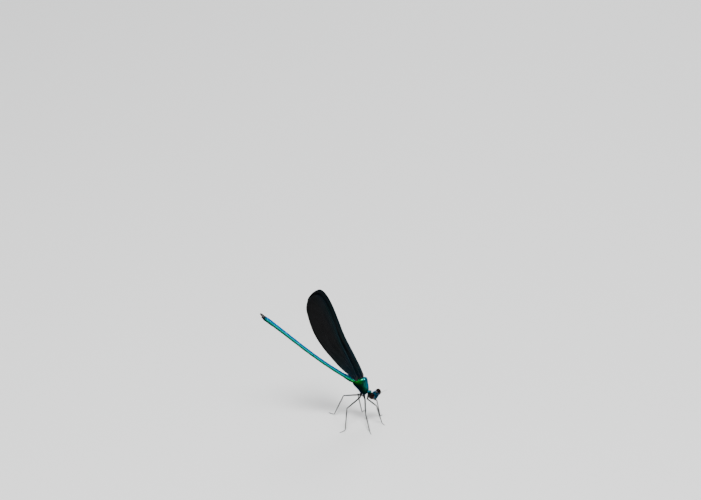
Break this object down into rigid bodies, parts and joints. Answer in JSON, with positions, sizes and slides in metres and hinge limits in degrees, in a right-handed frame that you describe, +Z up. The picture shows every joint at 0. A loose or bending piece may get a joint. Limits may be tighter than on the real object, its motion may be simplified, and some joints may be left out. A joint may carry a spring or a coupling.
{
  "type": "damselfly museum model",
  "caption": "Life-size model of a male broad-winged damselfly at rest, dark wings closed over its back and its slender abdomen raised.",
  "frame": {"origin": "on the floor, under the middle of the bounding box", "axes": "+Z up, +X the way the head points, +Y the animal's left side"},
  "size_m": [0.0414, 0.0173, 0.0462],
  "materials": {
    "metallic_blue": "iridescent blue cuticle",
    "metallic_green": "iridescent green cuticle",
    "black_cuticle": "satin black cuticle",
    "dark_wing": "satin brown-black wing with a faint blue sheen",
    "brown_eye": "smooth dark red-brown eye"
  },
  "bodies": {
    "root": {"thorax": "metallic_green", "prothorax": "metallic_green", "abdomen_01": "metallic_blue", "abdomen_02": "metallic_blue", "abdomen_03": "metallic_blue", "abdomen_04": "metallic_blue", "abdomen_05": "metallic_blue", "abdomen_06": "metallic_blue", "abdomen_07": "metallic_blue", "abdomen_08": "metallic_blue", "abdomen_09": "metallic_blue", "abdomen_10": "metallic_blue", "head": "metallic_blue", "eye_left": "brown_eye", "antenna_left": "black_cuticle", "cercus_left": "black_cuticle", "wing_fore_left": "dark_wing", "wing_hind_left": "dark_wing", "leg_fore_left": "black_cuticle", "leg_middle_left": "black_cuticle", "leg_hind_left": "black_cuticle", "eye_right": "brown_eye", "antenna_right": "black_cuticle", "cercus_right": "black_cuticle", "wing_fore_right": "dark_wing", "wing_hind_right": "dark_wing", "leg_fore_right": "black_cuticle", "leg_middle_right": "black_cuticle", "leg_hind_right": "black_cuticle", "labium": "black_cuticle"}
  },
  "joints": []
}
